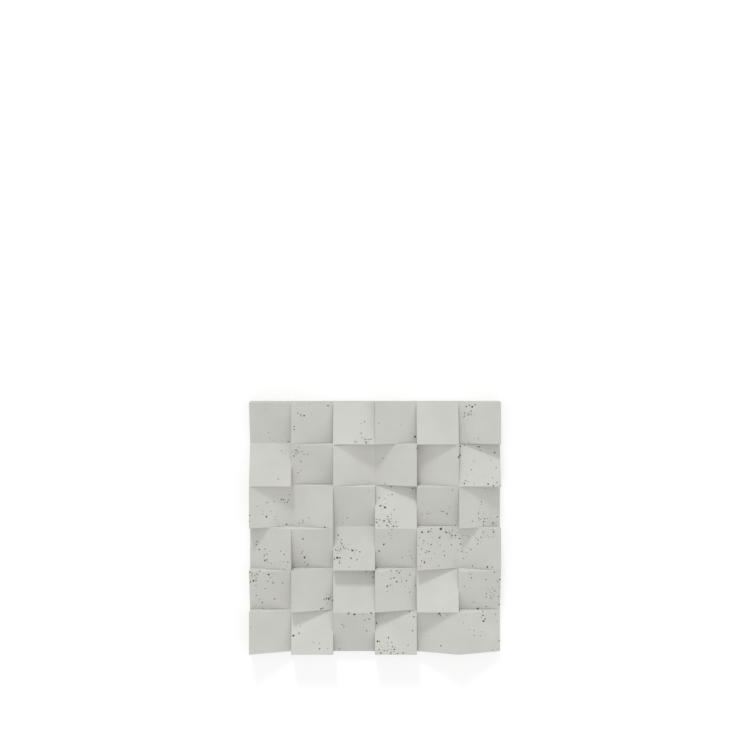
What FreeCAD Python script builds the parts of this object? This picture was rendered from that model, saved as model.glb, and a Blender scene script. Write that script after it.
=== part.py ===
import FreeCAD, Part
import Sketcher
import os

# A cast concrete wall tile: a square grid of blocks on a flat back, each block sloping to one of
# its four sides. It lies on its back: +Z is the face, +X the right and +Y the top of the tile as
# it hangs on a wall. The origin is the middle of the back.
#
# Each letter says which side of its block is the low one: U up, D down, L left, R right.
# The first line is the top row.
SLOPES = [
    "DRURUL",
    "UDRLLU",
    "RLDUDR",
    "LDUDRL",
    "DRURUD",
    "RUDULR",
]

# How far the block whose low side is on the right is turned to bring it to each side.
TURNS = {"R": 0, "U": 90, "L": 180, "D": 270}

# The driving sizes, in millimetres and degrees.
SIZES = [
    ("block_side", 100, "side of one block, at its high edge"),
    ("base_thickness", 9, "back of the tile to a block's low edge"),
    ("relief_depth", 24, "rise of a block from its low edge to its high edge"),
    ("mould_draft", 1.5, "slant of the steps between blocks, which lets the mould go"),
]

doc = FreeCAD.newDocument("concrete_tile")

sizes = doc.addObject("Spreadsheet::Sheet", "Sizes")
for row, (alias, value, meaning) in enumerate(SIZES, start=1):
    sizes.set(f"A{row}", alias)
    sizes.set(f"B{row}", str(value))
    sizes.set(f"C{row}", meaning)
    sizes.setAlias(f"B{row}", alias)
doc.recompute()

HIGH_LEVEL = "(Sizes.base_thickness + Sizes.relief_depth)"


def origin_plane(body, role):
    return next(f for f in body.Origin.OriginFeatures if f.Role == role)


def bind(sketch, name, constraint, expression):
    """Adds a constraint, names it and ties it to the sheet."""
    index = sketch.addConstraint(constraint)
    sketch.renameConstraint(index, name)
    sketch.setExpression(f"Constraints.{name}", expression)


def point(x, y):
    return FreeCAD.Vector(x, y, 0)


def closed_outline(sketch, corners):
    """Draws straight lines round the corners and joins their ends."""
    following = corners[1:] + corners[:1]
    for start, end in zip(corners, following):
        sketch.addGeometry(Part.LineSegment(start, end))
    for line in range(len(corners)):
        following_line = (line + 1) % len(corners)
        sketch.addConstraint(Sketcher.Constraint("Coincident", line, 2, following_line, 1))


# One block, with its low side at +X. Its plan is the full square at the high edge, and its walls
# lean out below that, so that blocks that meet at a corner are joined there.
block = doc.addObject("PartDesign::Body", "block")
block.Label = "block"

prism = block.newObject("PartDesign::AdditiveWedge", "block_prism")
prism.AttachmentSupport = [(origin_plane(block, "XZ_Plane"), "")]
prism.MapMode = "FlatFace"
LEAN = f"{HIGH_LEVEL} * tan(Sizes.mould_draft * 1 deg)"
for axis in "XZ":
    prism.setExpression(f"{axis}min", f"-Sizes.block_side / 2 - {LEAN}")
    prism.setExpression(f"{axis}max", f"Sizes.block_side / 2 + {LEAN}")
    prism.setExpression(f"{axis}2min", "-Sizes.block_side / 2")
    prism.setExpression(f"{axis}2max", "Sizes.block_side / 2")
prism.Ymin = 0
prism.setExpression("Ymax", HIGH_LEVEL)
doc.recompute()

# What lies above the slope is cut away by a wedge that ends in a level top. It goes on past the
# block on each side by this share of the block's side, so that it also clears the leaning walls.
OVERCUT = 0.5
side = sizes.block_side
drop = sizes.relief_depth
reach = (0.5 + OVERCUT) * side
top = sizes.base_thickness + drop + OVERCUT * drop
fall = (1 + 2 * OVERCUT) * drop
above = block.newObject("Sketcher::SketchObject", "above_slope")
above.AttachmentSupport = [(origin_plane(block, "XZ_Plane"), "")]
above.MapMode = "FlatFace"
closed_outline(above, [point(-reach, top), point(reach, top - fall), point(reach, top)])
above.addConstraint(Sketcher.Constraint("Vertical", 1))
above.addConstraint(Sketcher.Constraint("Horizontal", 2))

# The high start and the low end of the slope's line, and the sketch's middle, as constraints
# name points: a line's number, then 1 for its start.
HIGH_END = (0, 1)
LOW_END = (1, 1)
MIDDLE = (-1, 1)
across_half = f"(0.5 + {OVERCUT}) * Sizes.block_side"
for name, kind, start, end, length, expression in (
    ("reach_left", "DistanceX", HIGH_END, MIDDLE, reach, across_half),
    ("reach_right", "DistanceX", MIDDLE, LOW_END, reach, across_half),
    ("top", "DistanceY", MIDDLE, HIGH_END, top, f"{HIGH_LEVEL} + {OVERCUT} * Sizes.relief_depth"),
    ("fall", "DistanceY", LOW_END, HIGH_END, fall, f"(1 + 2 * {OVERCUT}) * Sizes.relief_depth"),
):
    bind(above, name, Sketcher.Constraint(kind, *start, *end, length), expression)

slope = block.newObject("PartDesign::Pocket", "slope")
slope.Profile = above
slope.Type = "ThroughAll"
slope.Midplane = True
block.Tip = slope
doc.recompute()

# The blocks of the tile are copies of that one, turned by quarters and set side by side.
rows = len(SLOPES)
columns = len(SLOPES[0])
copies = []
for row, letters in enumerate(SLOPES):
    for column, letter in enumerate(letters):
        copy = doc.addObject("App::Link", f"block_{row + 1}_{column + 1}")
        copy.LinkedObject = block
        copy.LinkTransform = False
        quarter_turn = FreeCAD.Rotation(FreeCAD.Vector(0, 0, 1), TURNS[letter])
        copy.Placement = FreeCAD.Placement(FreeCAD.Vector(), quarter_turn)
        across = column - (columns - 1) / 2
        up = (rows - 1) / 2 - row
        copy.setExpression("Placement.Base.x", f"({across}) * Sizes.block_side")
        copy.setExpression("Placement.Base.y", f"({up}) * Sizes.block_side")
        copies.append(copy)

blocks = doc.addObject("Part::MultiFuse", "blocks")
blocks.Shapes = copies
blocks.Refine = True

# The edges of the tile are cut square, because the next tile stands against them.
edges = doc.addObject("Part::Box", "square_edges")
edges.setExpression("Length", f"{columns} * Sizes.block_side")
edges.setExpression("Width", f"{rows} * Sizes.block_side")
edges.setExpression("Height", HIGH_LEVEL)
edges.setExpression("Placement.Base.x", f"-{columns} * Sizes.block_side / 2")
edges.setExpression("Placement.Base.y", f"-{rows} * Sizes.block_side / 2")

tile = doc.addObject("Part::MultiCommon", "tile")
tile.Shapes = [blocks, edges]
tile.Refine = True
tile.Label = "concrete_tile"

doc.recompute()

for item in doc.Objects:
    if "Invalid" in item.State or "Error" in item.State:
        raise RuntimeError(f"{item.Label} did not build")
if tile.Shape.isNull() or not tile.Shape.isValid() or len(tile.Shape.Solids) != 1:
    raise RuntimeError("the tile is not one valid solid")

os.makedirs("parts", exist_ok=True)
tile.Shape.exportStep(f"parts/{tile.Label}.step")
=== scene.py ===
import math

import bmesh
import bpy
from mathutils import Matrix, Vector


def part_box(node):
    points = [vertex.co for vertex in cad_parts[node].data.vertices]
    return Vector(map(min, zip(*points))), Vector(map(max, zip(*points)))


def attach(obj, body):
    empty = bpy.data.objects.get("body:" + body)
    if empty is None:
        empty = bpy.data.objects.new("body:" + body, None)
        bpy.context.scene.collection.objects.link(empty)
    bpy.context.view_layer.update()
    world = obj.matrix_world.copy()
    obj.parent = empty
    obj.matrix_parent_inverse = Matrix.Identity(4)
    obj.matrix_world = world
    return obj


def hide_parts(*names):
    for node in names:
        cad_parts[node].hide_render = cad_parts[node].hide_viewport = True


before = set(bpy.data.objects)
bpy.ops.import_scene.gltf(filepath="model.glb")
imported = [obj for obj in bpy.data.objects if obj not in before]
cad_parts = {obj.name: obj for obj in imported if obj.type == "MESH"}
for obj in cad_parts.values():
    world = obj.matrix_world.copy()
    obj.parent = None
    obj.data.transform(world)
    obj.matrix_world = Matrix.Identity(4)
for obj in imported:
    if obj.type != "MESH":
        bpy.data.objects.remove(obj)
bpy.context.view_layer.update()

bl_info = {
    "name": "Cast Concrete Wall Tile",
    "version": (1, 0, 0),
    "blender": (4, 5, 0),
    "location": "3D View > Sidebar > Wall Tile",
    "description": "Dresses the cast tile with air pores and a concrete finish, and sets its stage",
    "category": "Add Mesh",
}

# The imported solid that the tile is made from, with its body and its material slot.
NODE = "concrete_tile"
BODY = "root"

MM = 0.001
LOW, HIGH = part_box(NODE)
SIDE = HIGH.x - LOW.x
BLOCKS_ACROSS = 6
BLOCK = SIDE / BLOCKS_ACROSS

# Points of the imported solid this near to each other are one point.
SAME_POINT = 0.001 * MM
# Faces that bend less than this are parts of one flat side.
SAME_SIDE = math.radians(0.05)
# Points this near to a side of the tile lie on it.
ON_SIDE = 0.1 * MM

# A step is where a block stands higher than the next one. The foot of its wall lies this near to
# its top, seen from above.
WALL_LEAN = 1.5 * MM
# A face is a wall if its direction points up or down by less than this.
WALL_SLOPE = 0.5
# An edge that bends less than this is a ridge of the face, and no step.
STEP_ANGLE = math.radians(45)
# The rounding of a step gets finer where the step is lower than each of these heights.
ROUND_CUTS = (1 * MM, 2 * MM, 4 * MM)
# It is never wider than this share of the height.
ROUND_SHARE = 0.35
ROUND_SEGMENTS = 3
# Directions whose angle has a greater cosine than this are of one flat side.
NEARLY_ALIKE = 0.996

# Single air pores, by the row and column of their block, from the top left. Each has its place
# across and down the block in hundredths of its side, and its width in millimetres. A long pore
# has the turn of its length too, in degrees from level.
PORES = {
    (1, 1): [(46, 72, 3.4), (49, 85, 2.5), (58, 91, 2.6), (93, 94, 3.3, 0), (39, 16, 2.2),
        (43, 36, 2.2)],
    (1, 2): [(16, 26, 2.8, 40), (23, 30, 3.8), (31, 32, 4.6), (7, 58, 3.6), (7, 65, 3.6),
        (88, 8, 3.9, 15)],
    (1, 3): [(75, 46, 3.3), (67, 51, 2.5), (67, 74, 3.6), (84, 89, 3.9), (77, 89, 3, 0),
        (90, 88, 3.1, 40), (79, 96, 3.8, 70), (52, 94, 2.5, -35)],
    (1, 4): [(95, 82, 5.9), (86, 73, 2.5), (62, 54, 2.5), (9, 50, 2.8)],
    (1, 6): [(18, 10, 3.6, 45), (32, 11, 5.4), (26, 7, 3.2, 0), (39, 6, 3.3, -35), (29, 21, 3.9),
        (13, 25, 3.6), (23, 28, 3.6), (13, 34, 3.8), (47, 86, 2.5, 90), (24, 94, 2.5, 0)],
    (2, 1): [(77, 16, 2.5, -40), (69, 83, 2.6, 70)],
    (2, 2): [(19, 7, 2.8), (10, 14, 2.6, -50), (16, 19, 3), (10, 22, 3.3), (7, 28, 4.1),
        (39, 24, 2.5, -40), (23, 41, 3.9), (16, 68, 3.4), (23, 63, 2.3, 0), (3, 17, 3),
        (27, 17, 2.9), (29, 24, 2.8)],
    (2, 4): [(20, 34, 3), (24, 94, 3.4), (99, 11, 3.3)],
    (2, 5): [(99, 31, 4.6, 70)],
    (2, 6): [(4, 5, 4.1), (13, 3, 3.3), (48, 6, 4.1, 0), (51, 15, 2.6, 0), (86, 20, 4.1),
        (3, 27, 4.8, 65), (36, 39, 2.8, 80), (30, 61, 2.5, 20), (89, 56, 3.4), (16, 87, 3.6),
        (13, 94, 4.1), (70, 95, 4.9), (82, 99, 4.1), (81, 80, 3), (91, 91, 2.8, 0)],
    (3, 1): [(77, 32, 3.8), (82, 32, 3.8), (91, 38, 3, 80), (96, 20, 3), (42, 39, 3.1, -30),
        (48, 38, 2.8), (59, 37, 2.5, 0), (19, 48, 2.8), (41, 73, 4.6), (33, 67, 2.5), (1, 70, 4.1),
        (1, 84, 3), (89, 91, 4.6), (62, 80, 2.5)],
    (3, 2): [(19, 88, 3.4), (28, 81, 3.8), (28, 87, 3.4), (42, 76, 3), (80, 98, 3.8)],
    (3, 3): [(34, 76, 3.3), (25, 86, 2.5), (90, 92, 3.2), (95, 94, 2.6), (85, 12, 2.3)],
    (3, 4): [(24, 51, 6.6), (13, 47, 4.1, 15), (10, 28, 3.8), (24, 30, 2.5, 35), (32, 22, 2.5),
        (41, 20, 3.1, 0), (46, 56, 2.6, 10), (39, 1, 3.8), (90, 5, 3.8), (3, 80, 3.4), (4, 86, 4.3),
        (22, 83, 3.9, -50), (34, 85, 4.1), (29, 94, 3.6, -20), (31, 72, 3, -20), (38, 78, 3.3),
        (44, 96, 4.4), (52, 96, 3.1, -50), (10, 95, 3)],
    (3, 5): [(59, 60, 3.6), (64, 61, 3.6), (72, 66, 3.3, 80), (78, 50, 2.8), (25, 66, 3.4),
        (31, 65, 2.8), (12, 66, 2.3, 0), (85, 9, 3.1), (92, 93, 3.6)],
    (3, 6): [(54, 37, 3.4), (47, 65, 3.8), (92, 73, 4.1), (81, 88, 3.8, 70), (59, 85, 3.6),
        (62, 78, 3.6), (69, 77, 2.8), (59, 93, 3.3, -45), (33, 84, 2.5, -45)],
    (4, 1): [(19, 33, 3.8), (13, 35, 2.5), (17, 40, 3, 0), (24, 51, 3.8), (37, 50, 3.1, 0),
        (42, 62, 3.1), (36, 66, 3.3), (38, 77, 4.9), (43, 76, 3.3), (75, 55, 3.1), (83, 63, 3.9),
        (81, 81, 2.6), (92, 81, 3.1, 0), (84, 98, 2.8)],
    (4, 2): [(28, 26, 4.4), (25, 60, 3.9), (27, 55, 3.1), (32, 70, 5.4), (32, 81, 3),
        (39, 88, 3.9)],
    (4, 3): [(12, 17, 3.9), (10, 27, 2.6), (20, 28, 3.3), (21, 37, 3.1), (25, 45, 3.6),
        (6, 52, 3, 80), (18, 52, 3.3, 0), (46, 54, 4.9), (55, 53, 3.6), (64, 57, 3.1, -20),
        (51, 62, 3.1), (43, 72, 4.1), (10, 71, 5.7), (16, 71, 4.6), (3, 74, 3.4, 80), (57, 76, 3.6),
        (15, 83, 3.4), (38, 93, 3)],
    (4, 4): [(21, 39, 5.6), (10, 55, 3.9, -60), (33, 13, 2.6, 0), (38, 18, 2.6), (85, 66, 2.6, -45),
        (83, 54, 2.5)],
    (4, 5): [(57, 2, 7.1), (12, 10, 5.2), (27, 9, 4.9), (33, 8, 3.3), (34, 2, 3.3),
        (70, 10, 4.1, -45), (78, 12, 3.1, 90), (54, 23, 4.4), (6, 23, 2.8, 25), (16, 31, 3.3, 85),
        (34, 39, 3.3, 40), (4, 42, 2.5, 0), (82, 40, 3.8), (11, 50, 3.6), (29, 56, 3.6),
        (21, 59, 3.1), (65, 55, 2.8, 25), (66, 66, 3.8), (11, 78, 3.6), (18, 82, 4.1, 65),
        (8, 91, 3.3), (52, 90, 2.8, 90), (84, 18, 3.9), (92, 17, 3.8), (97, 11, 2.8, 45)],
    (4, 6): [(1, 25, 4.1), (4, 38, 3.8), (24, 22, 3), (53, 22, 3.6), (83, 9, 3.6, 70),
        (46, 29, 3, -50), (45, 38, 3.1, 85), (29, 51, 3.9), (6, 56, 3.3), (19, 59, 3),
        (11, 73, 2.6, 15), (33, 91, 3.3), (68, 93, 5.2), (80, 93, 3, 0), (58, 10, 2.8, 90)],
    (5, 1): [(10, 26, 5.9), (16, 25, 4.3), (3, 29, 3.6, 80), (1, 5, 4.1), (7, 8, 3.4),
        (18, 10, 3.3, -15), (25, 3, 3.8), (46, 11, 4.8), (50, 18, 2.8), (44, 27, 3.1, -10),
        (57, 31, 3.8), (80, 31, 3.8), (16, 37, 2.8, 0), (38, 45, 3.3), (17, 61, 3.8), (24, 71, 2.8),
        (31, 78, 4.3), (61, 69, 4.4), (33, 92, 3.3)],
    (5, 2): [(90, 69, 5.6), (84, 68, 3.9, 75), (79, 70, 3.6), (94, 66, 3.3), (99, 73, 4.4),
        (71, 93, 4.4), (76, 91, 3.1, 30), (58, 98, 3.3), (4, 77, 2.5)],
    (5, 3): [(79, 4, 3.6), (98, 4, 3.6), (96, 17, 3.9)],
    (5, 4): [(39, 2, 3.8), (52, 2, 3.9), (58, 7, 3.9), (62, 2, 3.1), (45, 19, 3.4, 15),
        (38, 21, 3.4), (52, 28, 4.4), (75, 26, 3.8), (83, 12, 3, 50), (29, 40, 4.4), (30, 37, 3.3),
        (37, 36, 3), (96, 38, 3.6), (83, 53, 2.5, 10)],
    (5, 6): [(28, 10, 2.8, 0), (30, 19, 3.8), (65, 23, 3.3, -40), (85, 5, 3.6), (98, 23, 4.1),
        (93, 27, 3), (86, 50, 3.3), (13, 39, 2.8, -75), (66, 57, 3.1, 80), (65, 65, 3.6),
        (76, 67, 3.3), (95, 63, 3.3, 50), (96, 82, 3.9), (66, 87, 3, -15), (45, 92, 5.6),
        (35, 77, 2.8)],
    (6, 1): [(22, 0, 3.3), (8, 2, 3), (3, 37, 3)],
    (6, 2): [(5, 57, 5.4), (19, 51, 3.6), (22, 34, 2.8), (54, 73, 3), (68, 75, 3.1), (68, 88, 3.6),
        (87, 88, 2.8)],
    (6, 3): [(37, 4, 4.4, 80), (51, 6, 5.4), (72, 6, 3.4), (91, 3, 4.6), (86, 17, 3.3, 40),
        (76, 20, 3, 20), (22, 30, 2.8, -15), (26, 35, 2.5, -60), (80, 45, 3.6, -50), (15, 88, 3.4)],
    (6, 4): [(82, 0, 3.3), (93, 12, 3.8), (4, 27, 3.6, 80), (90, 45, 3, 80), (32, 62, 3.8),
        (6, 70, 5.1), (11, 71, 3.3), (40, 73, 3), (42, 83, 3.6), (46, 90, 3.9), (79, 79, 2.8, 80),
        (10, 90, 3.3, 40), (14, 98, 4.4), (22, 92, 3.8), (29, 93, 2.8, 0), (38, 98, 4.4),
        (54, 99, 3.3), (67, 98, 4.9)],
    (6, 5): [(54, 4, 4.9), (49, 6, 3.3), (56, 9, 3.1), (57, 81, 3.9), (29, 58, 2.6), (72, 8, 2.5)],
    (6, 6): [(59, 22, 5.6), (63, 17, 3.6, 50), (58, 8, 4.1), (54, 13, 3), (57, -1, 3.3),
        (88, 6, 2.8), (37, 44, 3.1), (36, 56, 3), (52, 57, 2.8), (97, 69, 4.4), (81, 91, 2.5, 0)],
}

# Loose groups of fine pores, by the same blocks. Each has the place of its middle and how far it
# spreads, in hundredths of the block's side, and how many pores it holds.
FINE_GROUPS = {
    (1, 2): [(24, 34, 12, 4)],
    (1, 3): [(60, 93, 14, 5), (84, 92, 14, 6)],
    (1, 6): [(17, 29, 13, 9), (35, 25, 14, 8)],
    (2, 1): [(80, 20, 8, 3)],
    (2, 2): [(14, 18, 14, 14), (38, 24, 10, 4)],
    (2, 6): [(85, 75, 45, 10), (18, 85, 30, 6)],
    (3, 1): [(55, 80, 25, 6), (85, 38, 20, 4)],
    (3, 3): [(30, 85, 25, 3)],
    (3, 4): [(14, 88, 16, 12), (40, 88, 24, 18), (22, 44, 20, 6)],
    (3, 5): [(40, 65, 50, 5)],
    (3, 6): [(62, 84, 26, 20), (86, 90, 14, 8), (48, 48, 14, 4)],
    (4, 1): [(38, 67, 22, 12), (86, 86, 20, 4)],
    (4, 2): [(28, 75, 30, 5)],
    (4, 3): [(17, 48, 20, 16), (38, 50, 22, 12), (12, 76, 12, 6)],
    (4, 4): [(80, 60, 25, 6), (33, 36, 25, 4)],
    (4, 5): [(30, 15, 30, 12), (86, 14, 14, 20), (25, 55, 30, 8)],
    (4, 6): [(44, 22, 18, 10), (74, 14, 22, 16), (14, 20, 14, 6), (12, 60, 16, 8)],
    (5, 1): [(14, 14, 16, 16), (44, 20, 26, 12)],
    (5, 2): [(88, 69, 20, 6)],
    (5, 4): [(40, 25, 45, 12)],
    (5, 6): [(82, 60, 24, 16), (88, 30, 16, 6)],
    (6, 3): [(75, 25, 30, 4)],
    (6, 4): [(18, 90, 16, 9), (44, 86, 20, 14)],
    (6, 6): [(45, 50, 50, 8)],
}

# What the mark of a pore or a group carries besides its place.
MARK_NUMBERS = {
    "count": "INT",
    "spread": "FLOAT",
    "width": "FLOAT",
    "stretch": "FLOAT",
    "turn": "FLOAT",
}
# The marks float at this height, just above the whole face.
MARK_HEIGHT = HIGH.z + 0.5 * MM
# The places of the pores are read off the photo as if the whole face had this height.
READING_HEIGHT = 26 * MM
# How many times longer than wide a long pore is.
LONG_PORE = 1.6
# A fine pore's width lies between these shares of the greatest one.
FINE_SHARES = (0.45, 1.0)
# A fine pore drifts twice from the middle of its group, between these shares of its spread.
DRIFT_LOW = (-0.5, -0.5, 0.0)
DRIFT_HIGH = (0.5, 0.5, 0.0)
# The middle of a pore lies under the face by between these shares of its width. Most pores are
# therefore wider below their mouth, as bubbles in cement are.
SINK = (0.0, 0.25)
# A pore is stretched along, across and into the face by between these factors.
STRETCH_LOW = (0.95, 0.75, 1.0)
STRETCH_HIGH = (1.15, 0.95, 1.7)
# How often a ball's triangles are split for the wide pores, and for all others.
WIDE_FINENESS = 3
PLAIN_FINENESS = 2
# Waves a metre of the noise that makes the walls of the pores ragged.
RAGGED_SCALE = 450.0
# How much of the full painted shade a pale pore has.
PALE_SHARE = 0.1

# Waves a metre of the clouds, the grain and the cells that may hold a pinhole.
CLOUD_SCALE = 14.0
GRAIN_SCALE = 1100.0
PINHOLE_SCALE = 140.0
# Width of a pinhole, as a share of its cell, and the share of the cells without one.
PINHOLE_SIZE = 0.09
EMPTY_CELLS = 0.75
# How much of the tone comes from the grain. The clouds give the rest.
GRAIN_SHARE = 0.35
# How much deeper a pinhole is than the grain.
PINHOLE_DEPTH = 2.0
BUMP_HEIGHT = 0.2 * MM

# The way that the far lamp's light travels: down the tile, a little to its right, and low over it.
LAMP_TRAVEL = (0.35, -2.81, -1.0)
# How much stronger the soft light is from +X, +Y and +Z, as shares. Below zero it is weaker.
SKY_LEAN = (0.06, -0.18, 0.0)
# Both lights are nearly white. The shadows are a hair warmer than the lit faces.
SKY_TINT = (1.0, 0.985, 0.985, 1.0)
LAMP_TINT = (0.975, 1.0, 0.985)

# The photo's width and height in pixels.
PHOTO_SIDE = 750
# The row of the photo that the camera, which looks straight down, sees exactly below it.
SIGHT_ROW = 262
# The row of the middle of the tile.
TILE_ROW = 528.8
# The width of the tile in pixels, at its high edges.
TILE_PIXELS = 252.15
# The lens and the width of the sensor, in millimetres.
LENS = 50.0
SENSOR = 36.0


class TileFinish(bpy.types.PropertyGroup):
    """Sizes and colours of the tile's finish."""

    step_round: bpy.props.FloatProperty(
        name="Step Round",
        description="Width of the rounding on the steps between blocks",
        default=1.4 * MM,
        unit="LENGTH",
    )
    edge_round: bpy.props.FloatProperty(
        name="Edge Round",
        description="Width of the rounding on the tile's own edges",
        default=0.3 * MM,
        unit="LENGTH",
    )
    pore_seed: bpy.props.IntProperty(
        name="Pore Seed",
        description="Fixed seed for the places and turns of the pores",
        default=3,
    )
    pore_ragged: bpy.props.FloatProperty(
        name="Pore Raggedness",
        description="How far a pore's wall strays from an egg shape, as a share of its width",
        default=0.3,
        subtype="FACTOR",
    )
    fine_pore: bpy.props.FloatProperty(
        name="Fine Pore",
        description="Greatest width of the pores in the fine groups",
        default=2.7 * MM,
        unit="LENGTH",
    )
    wide_pore: bpy.props.FloatProperty(
        name="Wide Pore",
        description="Pores wider than this are shaped more finely",
        default=4 * MM,
        unit="LENGTH",
    )
    # The darker colour of a pore is painted shade, with more of it in wider pores.
    pale_pore: bpy.props.FloatProperty(
        name="Pale Pore",
        description="A pore this narrow is hardly darker than the face",
        default=2.6 * MM,
        unit="LENGTH",
    )
    dark_pore: bpy.props.FloatProperty(
        name="Dark Pore",
        description="A pore this wide has the full colour of the inside",
        default=6 * MM,
        unit="LENGTH",
    )
    concrete: bpy.props.FloatVectorProperty(
        name="Concrete",
        description="Colour of the cast face",
        subtype="COLOR",
        size=3,
        default=(0.575, 0.581, 0.541),
    )
    # Painted shade: the pores and pinholes are mixed towards this dark colour for the shade inside
    # them.
    pore_shade_inside: bpy.props.FloatVectorProperty(
        name="Pore Shade Inside",
        description="Colour inside the widest pores",
        subtype="COLOR",
        size=3,
        default=(0.21, 0.207, 0.195),
    )
    block_tones: bpy.props.FloatProperty(
        name="Block Tones",
        description="How much the blocks differ in tone, as a share",
        default=0.05,
        subtype="FACTOR",
    )
    cloudiness: bpy.props.FloatProperty(
        name="Cloudiness",
        description="How much the clouds and the grain change the tone, as a share",
        default=0.3,
        subtype="FACTOR",
    )
    # Painted shade in the corners at the foot of the steps: how much darker, and how far from the
    # corner it reaches.
    crease_shade_darkness: bpy.props.FloatProperty(
        name="Crease Shade Darkness",
        description="How much darker than the face the dust in a closed corner is, as a share",
        default=0.25,
        subtype="FACTOR",
    )
    crease_shade_reach: bpy.props.FloatProperty(
        name="Crease Shade Reach",
        description="How far the dust reaches from a corner",
        default=4 * MM,
        unit="LENGTH",
    )


class StageLook(bpy.types.PropertyGroup):
    """Floor and light."""

    floor_side: bpy.props.FloatProperty(
        name="Floor Side",
        description="Side of the square floor",
        default=16.0,
        unit="LENGTH",
    )
    floor_paint: bpy.props.FloatVectorProperty(
        name="Floor",
        description="Colour of the floor",
        subtype="COLOR",
        size=3,
        default=(0.45, 0.45, 0.45),
    )
    floor_lift: bpy.props.FloatProperty(
        name="Floor Lift",
        description="How much brighter than lit the camera sees the floor",
        default=0.57,
    )
    sky_level: bpy.props.FloatProperty(
        name="Sky Level",
        description="Strength of the soft light from all round",
        default=0.87,
    )
    lamp_level: bpy.props.FloatProperty(
        name="Lamp Level",
        description="Strength of the far lamp that makes the shadows",
        default=1.35,
    )
    lamp_size: bpy.props.FloatProperty(
        name="Lamp Size",
        description="Apparent width of the lamp, which softens the shadows",
        default=math.radians(8),
        subtype="ANGLE",
    )


def new_object(name, mesh):
    """A new object in the scene, at the origin."""
    piece = bpy.data.objects.new(name, mesh)
    bpy.context.scene.collection.objects.link(piece)
    return piece


def new_inputs(tree, rows):
    """Gives a node tree its named inputs with their defaults. The result has their identifiers."""
    identifiers = {}
    for name, kind, value in rows:
        socket = tree.interface.new_socket(name=name, in_out="INPUT", socket_type=f"NodeSocket{kind}")
        identifiers[name] = socket.identifier
        if value is not None:
            socket.default_value = value
    return identifiers


def add(tree, kind, inputs=None, **settings):
    """Adds a node. Its inputs take plain values, or sockets that are linked to them."""
    made = tree.nodes.new(kind)
    for name, value in settings.items():
        setattr(made, name, value)
    for key, value in (inputs or {}).items():
        if isinstance(value, bpy.types.NodeSocket):
            tree.links.new(value, made.inputs[key])
        else:
            made.inputs[key].default_value = value
    return made


def add_math(tree, operation, *values):
    """A number worked out from others."""
    return add(tree, "ShaderNodeMath", dict(enumerate(values)), operation=operation).outputs[0]


def add_vector_math(tree, operation, *values):
    """A vector worked out from others."""
    inputs = dict(enumerate(values))
    return add(tree, "ShaderNodeVectorMath", inputs, operation=operation).outputs[0]


def add_scale(tree, vector, factor):
    """A vector made longer or shorter."""
    inputs = {0: vector, "Scale": factor}
    return add(tree, "ShaderNodeVectorMath", inputs, operation="SCALE").outputs[0]


def add_noise(tree, vector, scale, detail):
    """A smooth random pattern."""
    inputs = {"Vector": vector, "Scale": scale, "Detail": detail}
    return add(tree, "ShaderNodeTexNoise", inputs).outputs


def add_random(tree, seed, low, high, use):
    """A random number or vector for each point. Each use has a number of its own."""
    own_seed = add_math(tree, "ADD", seed, float(use))
    if isinstance(low, tuple):
        inputs = {0: low, 1: high, "Seed": own_seed}
        return add(tree, "FunctionNodeRandomValue", inputs, data_type="FLOAT_VECTOR").outputs[0]
    inputs = {2: low, 3: high, "Seed": own_seed}
    return add(tree, "FunctionNodeRandomValue", inputs, data_type="FLOAT").outputs[1]


def add_is_greater(tree, value, limit):
    """Whether a number is greater than another."""
    inputs = {0: value, 1: limit}
    settings = {"data_type": "FLOAT", "operation": "GREATER_THAN"}
    return add(tree, "FunctionNodeCompare", inputs, **settings).outputs[0]


def add_choice(tree, chosen, value, otherwise):
    """One of two numbers."""
    inputs = {"Switch": chosen, "False": otherwise, "True": value}
    return add(tree, "GeometryNodeSwitch", inputs, input_type="FLOAT").outputs[0]


def add_own(tree, name, data_type="FLOAT"):
    """What each point or face carries under a name."""
    inputs = {"Name": name}
    return add(tree, "GeometryNodeInputNamedAttribute", inputs, data_type=data_type).outputs[0]


def add_stored(tree, geometry, name, value, data_type="FLOAT", domain="POINT"):
    """Gives each point or face a value to carry under a name."""
    inputs = {"Geometry": geometry, "Name": name, "Value": value}
    settings = {"data_type": data_type, "domain": domain}
    return add(tree, "GeometryNodeStoreNamedAttribute", inputs, **settings).outputs[0]


def add_moved(tree, geometry, **to):
    """Moves each point by an Offset or to a Position."""
    return add(tree, "GeometryNodeSetPosition", {"Geometry": geometry, **to}).outputs[0]


def clean_copy(node, name):
    """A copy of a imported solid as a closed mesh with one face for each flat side."""
    mesh = node.data.copy()
    mesh.name = name
    mesh.materials.clear()
    shape = bmesh.new()
    shape.from_mesh(mesh)
    bmesh.ops.remove_doubles(shape, verts=shape.verts, dist=SAME_POINT)
    bmesh.ops.dissolve_limit(shape, angle_limit=SAME_SIDE, verts=shape.verts, edges=shape.edges)
    bmesh.ops.recalc_face_normals(shape, faces=shape.faces)
    shape.to_mesh(mesh)
    shape.free()
    return new_object(name, mesh)


def apply_modifiers(piece):
    """Turns what the modifiers make into the piece's own plain mesh."""
    bpy.context.view_layer.update()
    graph = bpy.context.evaluated_depsgraph_get()
    finished = bpy.data.meshes.new_from_object(piece.evaluated_get(graph))
    piece.modifiers.clear()
    old = piece.data
    piece.data = finished
    finished.name = piece.name
    bpy.data.meshes.remove(old)


def step_height(wall, corner):
    """Height of a wall below one end of its top edge."""
    below = (
        point for point in wall.verts
        if point is not corner and (point.co.xy - corner.co.xy).length < WALL_LEAN
    )
    return max((corner.co.z - point.co.z for point in below), default=0.0)


def runs_on_outside(edge):
    """Whether an edge lies on one of the tile's four sides or on its back."""
    on_side = any(
        all(abs(abs(end.co[axis]) - HIGH[axis]) < ON_SIDE for end in edge.verts) for axis in (0, 1)
    )
    return on_side or all(abs(end.co.z - LOW.z) < ON_SIDE for end in edge.verts)


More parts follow.
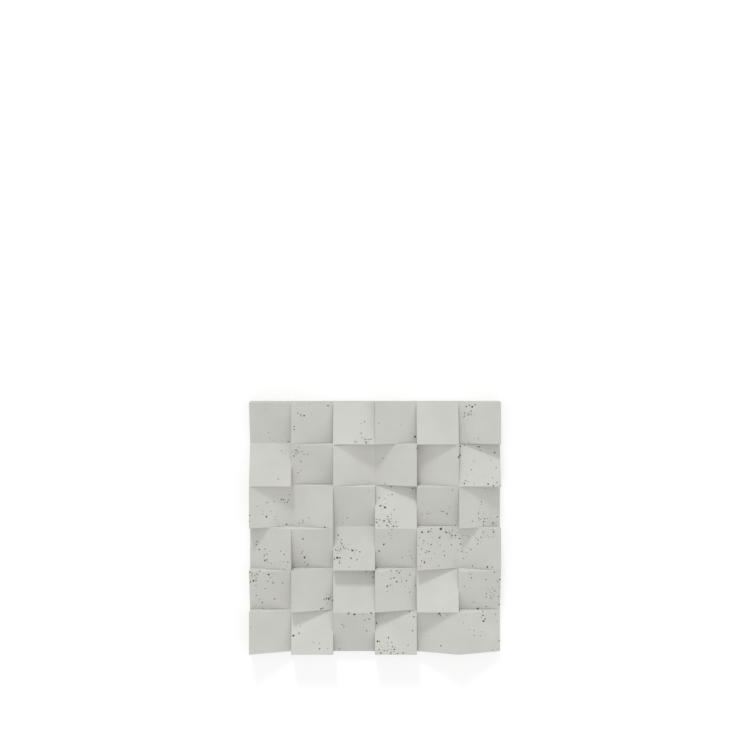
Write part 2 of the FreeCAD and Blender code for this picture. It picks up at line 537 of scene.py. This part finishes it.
def cut_step_edge(edge, wall):
    """Cuts a step's top edge where the step gets lower, and gives each part with its height."""
    low_end, high_end = sorted(edge.verts, key=lambda end: step_height(wall, end))
    height, full_height = step_height(wall, low_end), step_height(wall, high_end)
    parts = []
    for cut in ROUND_CUTS:
        if height < cut < full_height:
            along = (cut - height) / (full_height - height)
            near_part, point = bmesh.utils.edge_split(edge, low_end, along)
            far_part = next(part for part in point.link_edges if part is not near_part)
            parts.append((near_part, height))
            edge, low_end, height = far_part, point, cut
    return [*parts, (edge, height)]


def weigh_edges(shape, step_round, edge_round):
    """Gives each outward edge its share of the widest rounding."""
    share = shape.edges.layers.float.new("bevel_weight_edge")
    for edge in list(shape.edges):
        angle = edge.calc_face_angle_signed()
        walls = [face for face in edge.link_faces if abs(face.normal.z) < WALL_SLOPE]
        if angle < 0:
            continue
        if angle < STEP_ANGLE or runs_on_outside(edge):
            edge[share] = edge_round / step_round
        elif len(walls) == 2:
            edge[share] = 1.0
        else:
            for part, height in cut_step_edge(edge, walls[0]):
                part[share] = min(step_round, ROUND_SHARE * height) / step_round


def round_edges(piece, step_round, edge_round):
    """Rounds the steps between blocks, less and less where a step runs out, and all else finely."""
    shape = bmesh.new()
    shape.from_mesh(piece.data)
    weigh_edges(shape, step_round, edge_round)
    shape.to_mesh(piece.data)
    shape.free()
    bevel = piece.modifiers.new("round", "BEVEL")
    bevel.width = step_round
    bevel.segments = ROUND_SEGMENTS
    bevel.limit_method = "WEIGHT"
    bevel.use_clamp_overlap = False
    apply_modifiers(piece)
    # Where two roundings meet, a point can come out a hair above the top of the solid.
    for point in piece.data.vertices:
        point.co.z = min(point.co.z, HIGH.z)


def photo_eye():
    """Where the photo was taken from. The camera looks straight down there."""
    focal_pixels = LENS / SENSOR * PHOTO_SIDE
    distance = focal_pixels * SIDE / TILE_PIXELS
    above_middle = (TILE_ROW - SIGHT_ROW) * distance / focal_pixels
    return Vector((0.0, above_middle, HIGH.z + distance))


def face_place(block, across, down):
    """A point above the face, in line with hundredths across and down a block in the photo."""
    row, column = block
    x = LOW.x + (column - 1 + across / 100) * BLOCK
    y = HIGH.y - (row - 1 + down / 100) * BLOCK
    eye = photo_eye()
    share = (eye.z - MARK_HEIGHT) / (eye.z - READING_HEIGHT)
    return eye.lerp(Vector((x, y, READING_HEIGHT)), share)


def pore_marks(fine_width):
    """One loose point above the face for each single pore and each group, with its numbers."""
    rows = []
    for block, pores in PORES.items():
        for across, down, width, *turn in pores:
            stretch = LONG_PORE if turn else 1.0
            angle = math.radians(turn[0]) if turn else 0.0
            rows.append((face_place(block, across, down), 1, 0.0, width * MM, stretch, angle))
    for block, groups in FINE_GROUPS.items():
        for across, down, spread, count in groups:
            reach = spread / 100 * BLOCK
            rows.append((face_place(block, across, down), count, reach, fine_width, 1.0, 0.0))
    places, *numbers = zip(*rows)
    mesh = bpy.data.meshes.new("pore_marks")
    mesh.from_pydata(places, [], [])
    for (name, kind), values in zip(MARK_NUMBERS.items(), numbers):
        mesh.attributes.new(name, kind, "POINT").data.foreach_set("value", values)
    return new_object("pore_marks", mesh)


def add_pore_points(tree, marks, seed):
    """A point with a size for each pore. Those of a group are spread out round its middle."""
    count = add_own(tree, "count", "INT")
    loose = add(tree, "GeometryNodeMeshToPoints", {"Mesh": marks}).outputs[0]
    inputs = {"Geometry": loose, "Amount": count}
    copies = add(tree, "GeometryNodeDuplicateElements", inputs, domain="POINT").outputs["Geometry"]

    # A single pore keeps its full size and its place.
    in_group = add_is_greater(tree, count, 1.0)
    share = add_choice(tree, in_group, add_random(tree, seed, *FINE_SHARES, 1), 1.0)
    size = add_math(tree, "MULTIPLY", add_own(tree, "width"), share)
    sized = add_stored(tree, copies, "pore_size", size)

    # Two drifts in the plane of the tile give groups that are dense in the middle.
    first_drift = add_random(tree, seed, DRIFT_LOW, DRIFT_HIGH, 2)
    second_drift = add_random(tree, seed, DRIFT_LOW, DRIFT_HIGH, 3)
    drift = add_vector_math(tree, "ADD", first_drift, second_drift)
    return add_moved(tree, sized, Offset=add_scale(tree, drift, add_own(tree, "spread")))


def add_seated(tree, points, tile, seed):
    """Lets the points down to the face and a little into it. They carry its direction there."""
    # The places are read off the photo, so each point goes down along the photo's line of sight.
    place = add(tree, "GeometryNodeInputPosition").outputs[0]
    inputs = {
        "Target Geometry": tile,
        "Source Position": place,
        "Ray Direction": add_vector_math(tree, "SUBTRACT", place, photo_eye()),
        "Ray Length": MARK_HEIGHT,
    }
    ray = add(tree, "GeometryNodeRaycast", inputs).outputs
    leaning = add_stored(tree, points, "face_normal", ray["Hit Normal"], "FLOAT_VECTOR")
    # A point beside the tile has no face under it, and goes.
    missed = add(tree, "FunctionNodeBooleanMath", {0: ray["Is Hit"]}, operation="NOT").outputs[0]
    inputs = {"Geometry": leaning, "Selection": missed}
    kept = add(tree, "GeometryNodeDeleteGeometry", inputs, domain="POINT").outputs[0]
    seated = add_moved(tree, kept, Position=ray["Hit Position"])

    depth = add_math(tree, "MULTIPLY", add_own(tree, "pore_size"), add_random(tree, seed, *SINK, 6))
    outwards = add_own(tree, "face_normal", "FLOAT_VECTOR")
    inwards = add_scale(tree, outwards, add_math(tree, "MULTIPLY", depth, -1.0))
    return add_moved(tree, seated, Offset=inwards)


def add_pore_turn(tree, seed):
    """How a pore is turned: upright on the face, with its length where the photo shows one."""
    outwards = add_own(tree, "face_normal", "FLOAT_VECTOR")
    upright = add(tree, "FunctionNodeAlignRotationToVector", {"Vector": outwards}, axis="Z").outputs[0]
    is_long = add_is_greater(tree, add_own(tree, "stretch"), 1.0)
    any_turn = add_random(tree, seed, 0.0, math.tau, 4)
    turn = add_choice(tree, is_long, add_own(tree, "turn"), any_turn)
    inputs = {
        "Rotation": upright,
        "Rotate By": add(tree, "ShaderNodeCombineXYZ", {"Z": turn}).outputs[0],
    }
    return add(tree, "FunctionNodeRotateRotation", inputs, rotation_space="LOCAL").outputs[0]


def add_eggs(tree, points, wide_pore, seed):
    """A ball on each point, turned and stretched to an egg shape at random."""
    size = add_own(tree, "pore_size")
    inputs = {"X": add_own(tree, "stretch"), "Y": 1.0, "Z": 1.0}
    lengthened = add(tree, "ShaderNodeCombineXYZ", inputs).outputs[0]
    roughly = add_random(tree, seed, STRETCH_LOW, STRETCH_HIGH, 5)
    stretch = add_vector_math(tree, "MULTIPLY", lengthened, roughly)

    # The ball that is linked last has the first number.
    balls = add(tree, "GeometryNodeGeometryToInstance")
    for fineness in (WIDE_FINENESS, PLAIN_FINENESS):
        inputs = {"Radius": 0.5, "Subdivisions": fineness}
        ball = add(tree, "GeometryNodeMeshIcoSphere", inputs).outputs["Mesh"]
        tree.links.new(ball, balls.inputs[0])
    inputs = {
        "Points": points,
        "Instance": balls.outputs[0],
        "Pick Instance": True,
        "Instance Index": add_is_greater(tree, size, wide_pore),
        "Rotation": add_pore_turn(tree, seed),
        "Scale": add_scale(tree, stretch, size),
    }
    eggs = add(tree, "GeometryNodeInstanceOnPoints", inputs).outputs[0]
    return add(tree, "GeometryNodeRealizeInstances", {"Geometry": eggs}).outputs[0]


def add_ragged(tree, eggs, raggedness):
    """Moves the points of the eggs by a noise, so that the walls of the pores come out ragged."""
    place = add(tree, "GeometryNodeInputPosition").outputs[0]
    noise = add_noise(tree, place, RAGGED_SCALE, 1.0)["Color"]
    centred = add_vector_math(tree, "SUBTRACT", noise, (0.5, 0.5, 0.5))
    full_reach = add_math(tree, "MULTIPLY", raggedness, 2.0)
    reach = add_math(tree, "MULTIPLY", add_own(tree, "pore_size"), full_reach)
    return add_moved(tree, eggs, Offset=add_scale(tree, centred, reach))


def add_pore_shade(tree, eggs, pale_pore, dark_pore):
    """Marks the faces of each pore with how much painted shade the material gives them, more in wider
    pores.
    """
    inputs = {
        "Value": add_own(tree, "pore_size"),
        "From Min": pale_pore,
        "From Max": dark_pore,
        "To Min": PALE_SHARE,
    }
    darkness = add(tree, "ShaderNodeMapRange", inputs).outputs[0]
    return add_stored(tree, eggs, "pore", darkness, domain="FACE")


def add_hollowed(tree, tile, eggs):
    """The tile without the eggs. Each is taken away as a solid of its own, as they may overlap."""
    own_number = add(tree, "GeometryNodeInputMeshIsland").outputs["Island Index"]
    inputs = {"Geometry": eggs, "Group ID": own_number}
    apart = add(tree, "GeometryNodeSplitToInstances", inputs, domain="FACE").outputs["Instances"]
    inputs = {"Mesh 1": tile, "Mesh 2": apart}
    settings = {"operation": "DIFFERENCE", "solver": "MANIFOLD"}
    return add(tree, "GeometryNodeMeshBoolean", inputs, **settings).outputs[0]


def pore_tree():
    """Nodes that scatter the pores of each group over the face and cut them out of it."""
    tree = bpy.data.node_groups.new("air_pores", "GeometryNodeTree")
    sockets = new_inputs(tree, (
        ("Tile", "Geometry", None),
        ("Marks", "Object", None),
        ("Raggedness", "Float", None),
        ("Wide Pore", "Float", None),
        ("Pale Pore", "Float", None),
        ("Dark Pore", "Float", None),
        ("Seed", "Int", None),
        ("Concrete", "Material", None),
    ))
    tree.interface.new_socket(name="Tile", in_out="OUTPUT", socket_type="NodeSocketGeometry")
    given = add(tree, "NodeGroupInput").outputs
    marks = add(tree, "GeometryNodeObjectInfo", {"Object": given["Marks"]}).outputs["Geometry"]
    points = add_pore_points(tree, marks, given["Seed"])
    seated = add_seated(tree, points, given["Tile"], given["Seed"])
    eggs = add_eggs(tree, seated, given["Wide Pore"], given["Seed"])
    ragged = add_ragged(tree, eggs, given["Raggedness"])
    darkened = add_pore_shade(tree, ragged, given["Pale Pore"], given["Dark Pore"])
    hollowed = add_hollowed(tree, given["Tile"], darkened)
    whole = add(tree, "GeometryNodeRealizeInstances", {"Geometry": hollowed}).outputs[0]
    inputs = {"Geometry": whole, "Material": given["Concrete"]}
    painted = add(tree, "GeometryNodeSetMaterial", inputs).outputs[0]
    add(tree, "NodeGroupOutput", {"Tile": painted})
    return tree, sockets


def cut_pores(piece, finish, material):
    """Cuts the pores out of the tile and leaves it as a plain mesh."""
    tree, sockets = pore_tree()
    marks = pore_marks(finish.fine_pore)
    modifier = piece.modifiers.new("pores", "NODES")
    modifier.node_group = tree
    modifier[sockets["Marks"]] = marks
    modifier[sockets["Raggedness"]] = finish.pore_ragged
    modifier[sockets["Wide Pore"]] = finish.wide_pore
    modifier[sockets["Pale Pore"]] = finish.pale_pore
    modifier[sockets["Dark Pore"]] = finish.dark_pore
    modifier[sockets["Seed"]] = finish.pore_seed
    modifier[sockets["Concrete"]] = material
    apply_modifiers(piece)
    bpy.data.objects.remove(marks)


def side_directions(node):
    """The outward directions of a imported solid's flat sides, each one once."""
    directions = {}
    for face in node.data.polygons:
        rounded = tuple(round(part, 2) for part in face.normal)
        directions[rounded] = Vector(face.normal)
    return list(directions.values())


def side_direction(face, directions):
    """The direction of the flat side that a face is part of, or None in a rounding."""
    nearest = max(directions, key=face.normal.dot)
    return nearest if nearest.dot(face.normal) > NEARLY_ALIKE else None


def corner_normals(shape, directions):
    """A direction for each corner of each face. Flat sides stay flat and the rest is smooth."""
    in_pore = shape.faces.layers.float["pore"]
    flat = {}
    for face in shape.faces:
        flat[face] = None if face[in_pore] else side_direction(face, directions)
    normals = []
    for face in shape.faces:
        for corner in face.loops:
            around = corner.vert.link_faces
            beside = [flat[other] for other in around if flat[other]]
            if flat[face]:
                normals.append(flat[face])
            elif beside and not face[in_pore]:
                # A rounding starts in the direction of the flat side that it leaves.
                normals.append(max(beside, key=face.normal.dot))
            else:
                alike = (
                    other for other in around
                    if not flat[other] and other[in_pore] == face[in_pore]
                )
                total = sum((other.normal * other.calc_area() for other in alike), Vector())
                normals.append(total.normalized())
    return normals


def finish_mesh(mesh, material, node):
    """Leaves one material and only the pore mark, and smooths the pores and the roundings."""
    mesh.materials.clear()
    mesh.materials.append(material)
    for name in (*MARK_NUMBERS, "pore_size", "face_normal", "bevel_weight_edge", "custom_normal"):
        mesh.attributes.remove(mesh.attributes[name])
    shape = bmesh.new()
    shape.from_mesh(mesh)
    open_edges = sum(1 for edge in shape.edges if len(edge.link_faces) != 2)
    if open_edges:
        raise RuntimeError(f"{mesh.name} has {open_edges} open edges")
    for face in shape.faces:
        face.smooth = True
    for edge in shape.edges:
        edge.smooth = True
    normals = corner_normals(shape, side_directions(node))
    shape.to_mesh(mesh)
    shape.free()
    mesh.normals_split_custom_set(normals)


def add_pinholes(group, given):
    """Pinholes with a soft and uneven rim, near the middle of some cells of a random pattern."""
    place = given["Vector"]
    size = given["Pinhole Size"]
    reach = add_math(group, "DIVIDE", size, given["Pinhole Scale"])
    wander = add_noise(group, place, given["Grain Scale"], 2.0)["Color"]
    stray = add_scale(group, wander, add_math(group, "MULTIPLY", reach, 2.0))
    inputs = {
        "Vector": add_vector_math(group, "ADD", stray, place),
        "Scale": given["Pinhole Scale"],
    }
    cells = add(group, "ShaderNodeTexVoronoi", inputs).outputs
    inputs = {
        "Value": cells["Distance"],
        "From Min": add_math(group, "MULTIPLY", size, 0.5),
        "From Max": size,
        "To Min": 1.0,
        "To Max": 0.0,
    }
    near = add(group, "ShaderNodeMapRange", inputs, interpolation_type="SMOOTHSTEP").outputs[0]
    draw = add(group, "ShaderNodeSeparateColor", {"Color": cells["Color"]}).outputs[0]
    chosen = add_math(group, "GREATER_THAN", draw, given["Empty Cells"])
    return add_math(group, "MULTIPLY", near, chosen)


def cement_group():
    """Cloudy tone, fine grain and pinholes of cast cement, for any material made of it."""
    group = bpy.data.node_groups.new("cast_cement", "ShaderNodeTree")
    new_inputs(group, (
        ("Vector", "Vector", None),
        ("Cloud Scale", "Float", CLOUD_SCALE),
        ("Grain Scale", "Float", GRAIN_SCALE),
        ("Grain Share", "Float", GRAIN_SHARE),
        ("Pinhole Scale", "Float", PINHOLE_SCALE),
        ("Pinhole Size", "Float", PINHOLE_SIZE),
        ("Pinhole Depth", "Float", PINHOLE_DEPTH),
        ("Empty Cells", "Float", EMPTY_CELLS),
    ))
    for name in ("Tone", "Height", "Pinholes"):
        group.interface.new_socket(name=name, in_out="OUTPUT", socket_type="NodeSocketFloat")
    given = add(group, "NodeGroupInput").outputs
    clouds = add_noise(group, given["Vector"], given["Cloud Scale"], 4.0)["Fac"]
    grain = add_noise(group, given["Vector"], given["Grain Scale"], 3.0)["Fac"]
    inputs = {"Factor": given["Grain Share"], "A": clouds, "B": grain}
    tone = add(group, "ShaderNodeMix", inputs).outputs[0]
    pinholes = add_pinholes(group, given)
    depth = add_math(group, "MULTIPLY", pinholes, given["Pinhole Depth"])
    height = add_math(group, "SUBTRACT", grain, depth)
    add(group, "NodeGroupOutput", {"Tone": tone, "Height": height, "Pinholes": pinholes})
    return group


def add_block_tone(tree, place, block_tones):
    """A number around nought that each block of the tile has for itself."""
    cell = add_vector_math(tree, "DIVIDE", place, (BLOCK, BLOCK, 1.0))
    block = add_vector_math(tree, "FLOOR", cell)
    draw = add(tree, "ShaderNodeTexWhiteNoise", {"Vector": block}).outputs["Value"]
    return add_math(tree, "MULTIPLY", add_math(tree, "SUBTRACT", draw, 0.5), block_tones)


def add_crease_shade(tree, crease_shade_darkness, crease_shade_reach):
    """Painted shade: one on open faces, and less in the corners at the foot of the steps, where little
    light reaches.
    """
    inputs = {"Distance": crease_shade_reach}
    settings = {"only_local": True, "samples": 8}
    openness = add(tree, "ShaderNodeAmbientOcclusion", inputs, **settings).outputs["AO"]
    inputs = {"Value": openness, "To Min": 1.0 - crease_shade_darkness, "To Max": 1.0}
    return add(tree, "ShaderNodeMapRange", inputs).outputs[0]


def concrete_material(finish):
    """Grey cast concrete, with painted shade in its pores, its pinholes and the corners at the foot of
    the steps.
    """
    material = bpy.data.materials.new("cast_concrete")
    material.use_nodes = True
    tree = material.node_tree
    shader = tree.nodes["Principled BSDF"]
    shader.inputs["Roughness"].default_value = 0.88
    shader.inputs["Specular IOR Level"].default_value = 0.3

    place = add(tree, "ShaderNodeTexCoord").outputs["Object"]
    cement = add(tree, "ShaderNodeGroup", node_tree=cement_group())
    tree.links.new(place, cement.inputs["Vector"])

    block_part = add_block_tone(tree, place, finish.block_tones)
    cloudy = add_math(tree, "SUBTRACT", cement.outputs["Tone"], 0.5)
    cloud_part = add_math(tree, "MULTIPLY", cloudy, finish.cloudiness)
    even_tone = add_math(tree, "ADD", add_math(tree, "ADD", block_part, cloud_part), 1.0)
    # Painted shade darkens the corners at the foot of the steps.
    corner_shade = add_crease_shade(tree, finish.crease_shade_darkness, finish.crease_shade_reach)
    tone = add_math(tree, "MULTIPLY", even_tone, corner_shade)
    toned = add_scale(tree, tuple(finish.concrete), tone)

    # Painted shade: the pores, wider ones more, and the pinholes are mixed towards the dark inside
    # colour.
    pore = add(tree, "ShaderNodeAttribute", attribute_name="pore").outputs["Fac"]
    hollow = add_math(tree, "MAXIMUM", pore, cement.outputs["Pinholes"])
    colour = add(tree, "ShaderNodeMix", data_type="RGBA")
    tree.links.new(hollow, colour.inputs["Factor"])
    tree.links.new(toned, colour.inputs[6])
    colour.inputs[7].default_value = (*finish.pore_shade_inside, 1.0)
    tree.links.new(colour.outputs[2], shader.inputs["Base Color"])

    inputs = {"Height": cement.outputs["Height"], "Strength": 0.5, "Distance": BUMP_HEIGHT}
    bump = add(tree, "ShaderNodeBump", inputs).outputs[0]
    tree.links.new(bump, shader.inputs["Normal"])
    return material


class WALLTILE_OT_cast_tile(bpy.types.Operator):
    """Makes the tile's cast face, with its pores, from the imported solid"""

    bl_idname = "walltile.cast_tile"
    bl_label = "Cast Tile"

    def execute(self, context):
        finish = context.scene.wall_tile_finish
        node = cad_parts[NODE]
        tile = clean_copy(node, "cast_tile")
        round_edges(tile, finish.step_round, finish.edge_round)
        material = concrete_material(finish)
        cut_pores(tile, finish, material)
        finish_mesh(tile.data, material, node)
        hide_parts(NODE)
        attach(tile, BODY)
        return {"FINISHED"}


def plain_floor(look):
    """A flat floor under the tile. The camera sees it nearly white, and it keeps the shadows."""
    half = look.floor_side / 2
    mesh = bpy.data.meshes.new("floor")
    corners = [(-half, -half, 0), (half, -half, 0), (half, half, 0), (-half, half, 0)]
    mesh.from_pydata(corners, [], [(0, 1, 2, 3)])

    paint = bpy.data.materials.new("floor_paint")
    paint.use_nodes = True
    tree = paint.node_tree
    shader = tree.nodes["Principled BSDF"]
    shader.inputs["Base Color"].default_value = (*look.floor_paint, 1.0)
    shader.inputs["Roughness"].default_value = 1.0
    shader.inputs["Specular IOR Level"].default_value = 0.0
    shader.inputs["Emission Color"].default_value = (1.0, 1.0, 1.0, 1.0)
    seen = add(tree, "ShaderNodeLightPath").outputs["Is Camera Ray"]
    lift = add_math(tree, "MULTIPLY", seen, look.floor_lift)
    tree.links.new(lift, shader.inputs["Emission Strength"])
    mesh.materials.append(paint)
    new_object("floor", mesh)


def soft_sky(look):
    """Even light from all round, a little stronger from the foot and the right of the tile."""
    world = bpy.data.worlds.new("soft_sky")
    bpy.context.scene.world = world
    world.use_nodes = True
    tree = world.node_tree
    sky = tree.nodes["Background"]
    sky.inputs["Color"].default_value = SKY_TINT

    path = add(tree, "ShaderNodeLightPath").outputs
    mirrored = add_math(tree, "MAXIMUM", path["Is Glossy Ray"], path["Is Transmission Ray"])
    seen = add_math(tree, "MAXIMUM", path["Is Camera Ray"], mirrored)
    direction = add(tree, "ShaderNodeTexCoord").outputs["Generated"]
    inputs = {0: direction, 1: SKY_LEAN}
    lean = add(tree, "ShaderNodeVectorMath", inputs, operation="DOT_PRODUCT").outputs["Value"]
    level = add_math(tree, "MULTIPLY", add_math(tree, "ADD", lean, 1.0), look.sky_level)
    inputs = {"Value": seen, "To Min": level, "To Max": 1.0}
    strength = add(tree, "ShaderNodeMapRange", inputs).outputs[0]
    tree.links.new(strength, sky.inputs["Strength"])


def far_lamp(look):
    """A lamp above the top of the tile and a little to its left, low over the face."""
    light = bpy.data.lights.new("far_lamp", "SUN")
    light.energy = look.lamp_level
    light.angle = look.lamp_size
    light.color = LAMP_TINT
    lamp = new_object("far_lamp", light)
    travel = Vector(LAMP_TRAVEL)
    lamp.rotation_euler = travel.to_track_quat("-Z", "Y").to_euler()
    lamp.location = -travel


def photo_camera():
    """The photo's camera, which looks straight down. Its shift puts the tile below the middle."""
    lens = bpy.data.cameras.new("photo_camera")
    lens.lens = LENS
    lens.sensor_width = SENSOR
    lens.shift_y = (SIGHT_ROW - PHOTO_SIDE / 2) / PHOTO_SIDE
    camera = new_object("photo_camera", lens)
    camera.location = photo_eye()
    bpy.context.scene.camera = camera


class WALLTILE_OT_stage(bpy.types.Operator):
    """Sets the floor, the light and the camera"""

    bl_idname = "walltile.stage"
    bl_label = "Stage"

    def execute(self, context):
        look = context.scene.wall_tile_stage
        if look.floor_side <= SIDE:
            raise RuntimeError("the floor is narrower than the tile")
        plain_floor(look)
        soft_sky(look)
        far_lamp(look)
        photo_camera()
        context.scene.view_settings.view_transform = "Standard"
        return {"FINISHED"}


class WALLTILE_PT_panel(bpy.types.Panel):
    """Sizes, colours and steps of the wall tile"""

    bl_idname = "WALLTILE_PT_panel"
    bl_label = "Wall Tile"
    bl_space_type = "VIEW_3D"
    bl_region_type = "UI"
    bl_category = "Wall Tile"

    def draw(self, context):
        layout = self.layout
        for settings in (context.scene.wall_tile_finish, context.scene.wall_tile_stage):
            for name in settings.__annotations__:
                layout.prop(settings, name)
        layout.operator(WALLTILE_OT_cast_tile.bl_idname)
        layout.operator(WALLTILE_OT_stage.bl_idname)


CLASSES = (
    TileFinish,
    StageLook,
    WALLTILE_OT_cast_tile,
    WALLTILE_OT_stage,
    WALLTILE_PT_panel,
)


def register():
    for cls in CLASSES:
        bpy.utils.register_class(cls)
    bpy.types.Scene.wall_tile_finish = bpy.props.PointerProperty(type=TileFinish)
    bpy.types.Scene.wall_tile_stage = bpy.props.PointerProperty(type=StageLook)


def unregister():
    del bpy.types.Scene.wall_tile_stage
    del bpy.types.Scene.wall_tile_finish
    for cls in reversed(CLASSES):
        bpy.utils.unregister_class(cls)


def main():
    """Makes the tile and its stage."""
    register()
    bpy.ops.walltile.cast_tile()
    bpy.ops.walltile.stage()


if __name__ == "__main__":
    main()
